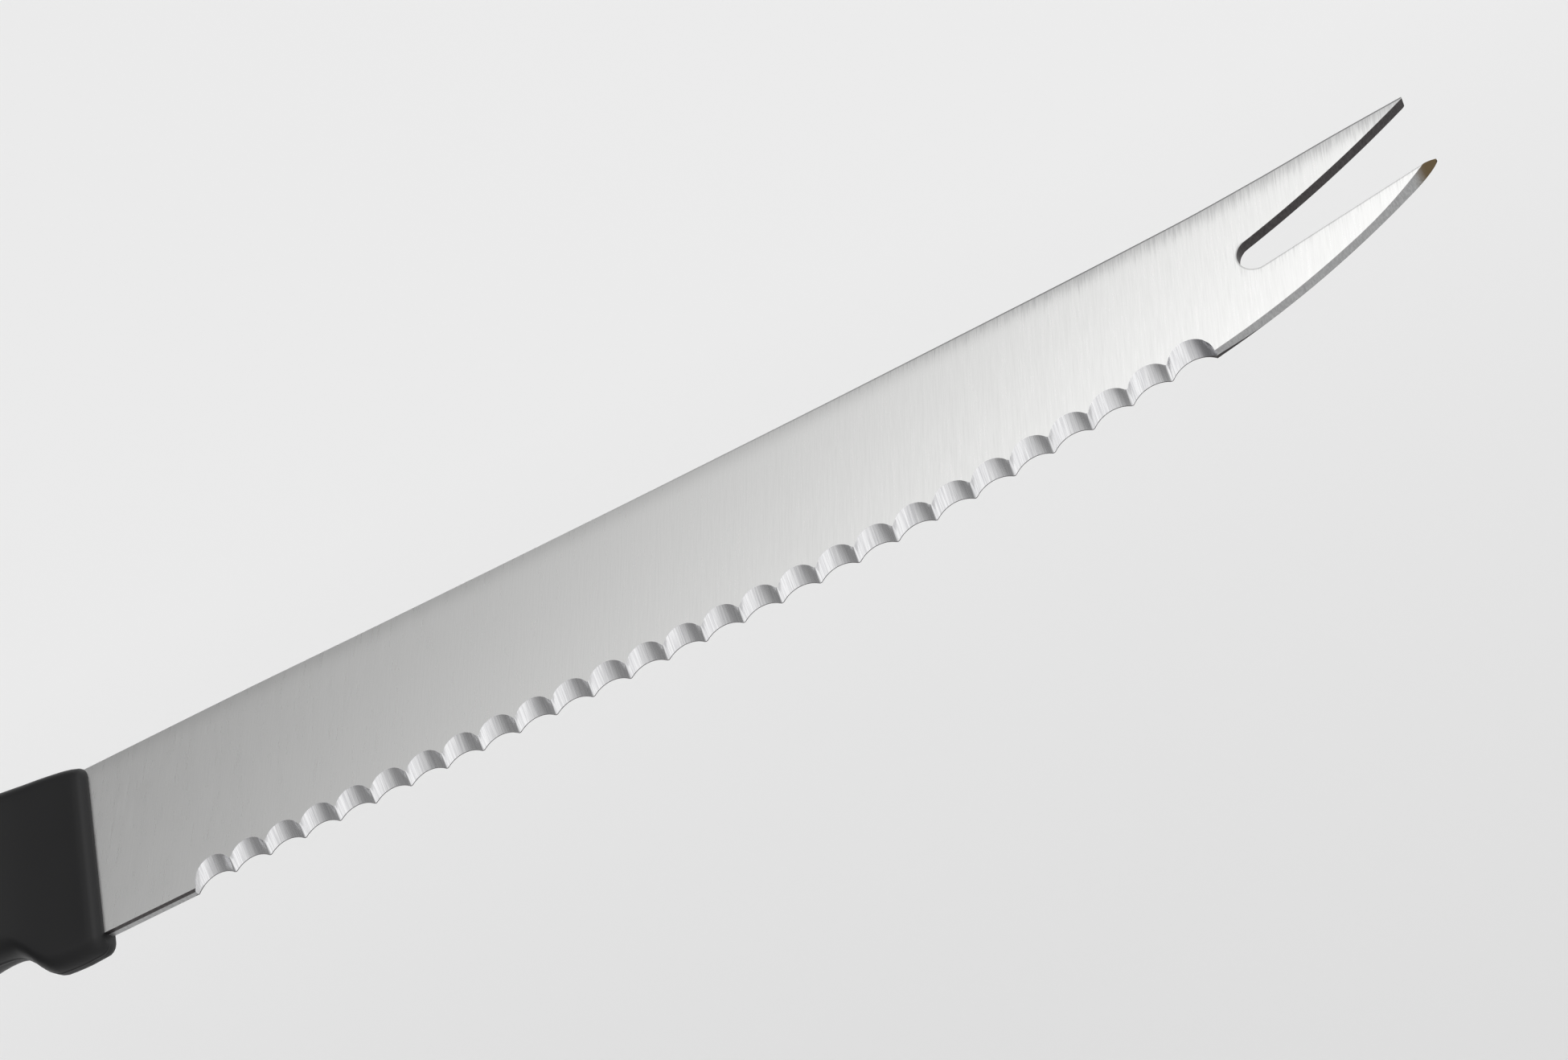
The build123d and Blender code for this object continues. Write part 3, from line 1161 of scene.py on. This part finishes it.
    def build(self) -> bpy.types.Object:
        """Model the handle: one ring of points drawn back through every section, closed at both ends.

        Returns:
            The handle, riding on the knife's body and standing for the handle's solid.
        """
        stations = self.stations()
        first = self.section(*stations[0])
        bm = bmesh.new()
        ring = bmesh.ops.create_circle(bm, cap_ends=False, segments=len(first), radius=1.0)["verts"]
        ring.sort(key=lambda v: math.atan2(v.co.y, v.co.x) % (2 * math.pi))
        for vert, (up, across) in zip(ring, first):
            vert.co = in_frame(-stations[0][0], up, across)
        front = ring
        for distance, inset_up, inset_across in stations[1:]:
            edges = dict.fromkeys(e for v in ring for e in v.link_edges if all(w in ring for w in e.verts))
            grown = bmesh.ops.extrude_edge_only(bm, edges=list(edges))["geom"]
            fresh = {g for g in grown if isinstance(g, bmesh.types.BMVert)}
            following = []
            for vert in ring:
                ahead = (e.other_vert(vert) for e in vert.link_edges)
                following.append(next(v for v in ahead if v in fresh))
            for vert, (up, across) in zip(following, self.section(distance, inset_up, inset_across)):
                vert.co = in_frame(-distance, up, across)
            ring = following
        bmesh.ops.contextual_create(bm, geom=front)
        bmesh.ops.contextual_create(bm, geom=ring)
        bmesh.ops.recalc_face_normals(bm, faces=bm.faces[:])
        for face in bm.faces:
            face.smooth = True
        for edge in bm.edges:
            if len(edge.link_faces) == 2 and edge.calc_face_angle(0.0) > math.radians(self.crease_angle):
                edge.smooth = False
        return finish_piece(bm, "handle_moulding", [self.finish], "handle")


@dataclass
class Studio:
    """Pale floor well below the knife, soft light that is brighter towards the tip, and the camera."""

    floor_drop: float = 0.16
    floor_size: float = 8.0
    floor_fall: Span = (-0.02, 0.16)
    fibre_mm: float = 0.4
    # light of the surroundings against direction along the knife, from behind the handle to past the tip
    glow_places: tuple[float, ...] = (0.0, 0.25, 0.38, 0.5, 0.62, 0.8, 1.0)
    glow_levels: tuple[float, ...] = (0.15, 0.2, 0.285, 0.6, 1.0, 1.2, 1.25)
    # light added by a ring of soft boxes round the ceiling, against the height of the direction
    ceiling_places: tuple[float, ...] = (0.68, 0.77, 0.81, 0.84, 0.9, 0.95, 1.0)
    ceiling_levels: tuple[float, ...] = (0.0, 0.15, 0.5, 0.97, 1.25, 0.5, 0.0)
    # light from the camera's own side against the same direction, which the ground scallops show
    front_places: tuple[float, ...] = (0.0, 0.12, 0.2, 0.28, 0.4, 0.48, 0.56)
    front_levels: tuple[float, ...] = (0.25, 0.27, 0.38, 0.6, 0.76, 0.88, 1.02)
    # shares of the direction along Y between which the light from the camera's side gives way to the rest
    front_span: Span = (-0.25, 0.15)
    lamp_size: float = 0.5
    lamp_watts: float = 0.5
    lamp_distance: float = 0.9
    lamp_towards: Triple = (0.38, 0.3, 0.87)
    lamp_target: Triple = (0.07, 0.0, 0.0)
    camera_place: Triple = (0.1078146, -0.1183024, 0.16928)
    camera_right: Triple = (0.87483229, -0.25199866, -0.41372109)
    camera_down: Triple = (-0.43469538, -0.78529101, -0.44086046)
    camera_forward: Triple = (-0.21379521, 0.56552162, -0.79654059)
    lens_mm: float = 55.385
    sensor_mm: float = 36.0

    def build(self) -> None:
        """Set up the camera, the floor, the surroundings and the lamp."""
        self.add_camera()
        self.add_floor()
        self.add_surroundings()
        self.add_softbox()
        bpy.context.scene.view_settings.view_transform = "Standard"

    def add_camera(self) -> None:
        """Place the camera where the photograph was taken from."""
        data = bpy.data.cameras.new("camera")
        data.lens = self.lens_mm
        data.sensor_width = self.sensor_mm
        data.sensor_fit = "HORIZONTAL"
        data.clip_start = 0.01
        data.clip_end = 50.0
        camera = put_in_scene("camera", data)
        right, down, forward = (Vector(v) for v in (self.camera_right, self.camera_down, self.camera_forward))
        turn = Matrix((right, -down, -forward)).transposed()
        camera.matrix_world = Matrix.Translation(self.camera_place) @ turn.to_4x4()
        bpy.context.scene.camera = camera

    def add_floor(self) -> None:
        """Lay a plain pale floor."""
        bm = bmesh.new()
        bmesh.ops.create_grid(bm, x_segments=8, y_segments=8, size=self.floor_size / 2)
        bmesh.ops.translate(bm, verts=bm.verts[:], vec=(0.0, 0.0, -self.floor_drop))
        mesh = bpy.data.meshes.new("floor")
        bm.to_mesh(mesh)
        bm.free()
        material, tree, shader = new_material("matt_paper_floor")
        where = add_node(tree, "ShaderNodeTexCoord").outputs["Object"]
        # paper fibres about 0.4 mm long, far too soft to see as more than an even surface
        fibre = grain(tree, where, (self.fibre_mm,) * 3, 2.0, 0.5)
        # the sheet is a little darker on the side towards the camera
        forward = add_node(tree, "ShaderNodeSeparateXYZ", {"Vector": where}).outputs["Y"]
        fall = spread(tree, forward, self.floor_fall)
        set_inputs(tree, shader, {
            "Base Color": mix(tree, fall, StageColour.FLOOR_NEAR.value, StageColour.FLOOR.value),
            "Normal": relief(tree, fibre, 0.02, 0.02), "Roughness": 0.9, "Specular IOR Level": 0.0,
        })
        mesh.materials.append(material)
        put_in_scene("floor", mesh)

    def add_surroundings(self) -> None:
        """Light the scene from all round, more from the tip's side than from the handle's."""
        world = bpy.data.worlds.new("studio")
        world.use_nodes = True
        bpy.context.scene.world = world
        tree = world.node_tree
        tree.nodes.clear()
        direction = add_node(tree, "ShaderNodeTexCoord").outputs["Generated"]
        axes = add_node(tree, "ShaderNodeSeparateXYZ", {"Vector": direction}).outputs
        place = spread(tree, axes["X"], (-1.0, 1.0))
        sides = self.level_ramp(tree, place, self.glow_places, self.glow_levels)
        ceiling = self.level_ramp(tree, axes["Z"], self.ceiling_places, self.ceiling_levels)
        behind = add_node(tree, "ShaderNodeVectorMath", {0: sides, 1: ceiling}, operation="ADD")
        front = self.level_ramp(tree, place, self.front_places, self.front_levels)
        level = mix(tree, spread(tree, axes["Y"], self.front_span), front, behind.outputs["Vector"])
        # the ramps hold half of each level
        glow = add_node(tree, "ShaderNodeBackground", {"Color": level, "Strength": 2.0})
        seen = add_node(
            tree, "ShaderNodeBackground", {"Color": linear(StageColour.BACKDROP.value), "Strength": 1.0}
        )
        camera_ray = add_node(tree, "ShaderNodeLightPath").outputs["Is Camera Ray"]
        mixed = add_node(
            tree,
            "ShaderNodeMixShader",
            {0: camera_ray, 1: glow.outputs["Background"], 2: seen.outputs["Background"]},
        )
        add_node(tree, "ShaderNodeOutputWorld", {"Surface": mixed.outputs["Shader"]})

    def level_ramp(
        self, tree: bpy.types.NodeTree, value: Any, places: tuple[float, ...], levels: tuple[float, ...]
    ) -> Any:
        """Read a table of light levels by a value.

        Args:
            tree: Node tree of the surroundings.
            value: Socket with the value, from 0 to 1.
            places: Rising places of the table.
            levels: Light level at each place.

        Returns:
            Socket with half the level, because a ramp's colours stop at 1.
        """
        ramp = add_node(tree, "ShaderNodeValToRGB", {"Fac": value})
        elements = ramp.color_ramp.elements
        while len(elements) < len(places):
            elements.new(0.5)
        for element, spot, level in zip(elements, places, levels):
            element.position = spot
            element.color = (level / 2,) * 3 + (1.0,)
        return ramp.outputs["Color"]

    def add_softbox(self) -> None:
        """Hang one large soft lamp over the tip, behind the camera's view."""
        data = bpy.data.lights.new("softbox", "AREA")
        data.shape = "DISK"
        data.size = self.lamp_size
        data.energy = self.lamp_watts
        lamp = put_in_scene("softbox", data)
        towards = Vector(self.lamp_towards).normalized()
        lamp.location = Vector(self.lamp_target) + towards * self.lamp_distance
        lamp.rotation_euler = towards.to_track_quat("Z", "Y").to_euler()


def main() -> None:
    """Load the frame, build the knife and its studio, and report each piece."""
    logging.basicConfig(level=logging.INFO, format="%(message)s")
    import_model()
    Studio().build()
    for piece in (Blade().build(), Handle().build()):
        log.info("built %s with %d faces", piece.name, len(piece.data.polygons))


if __name__ == "__main__":
    main()
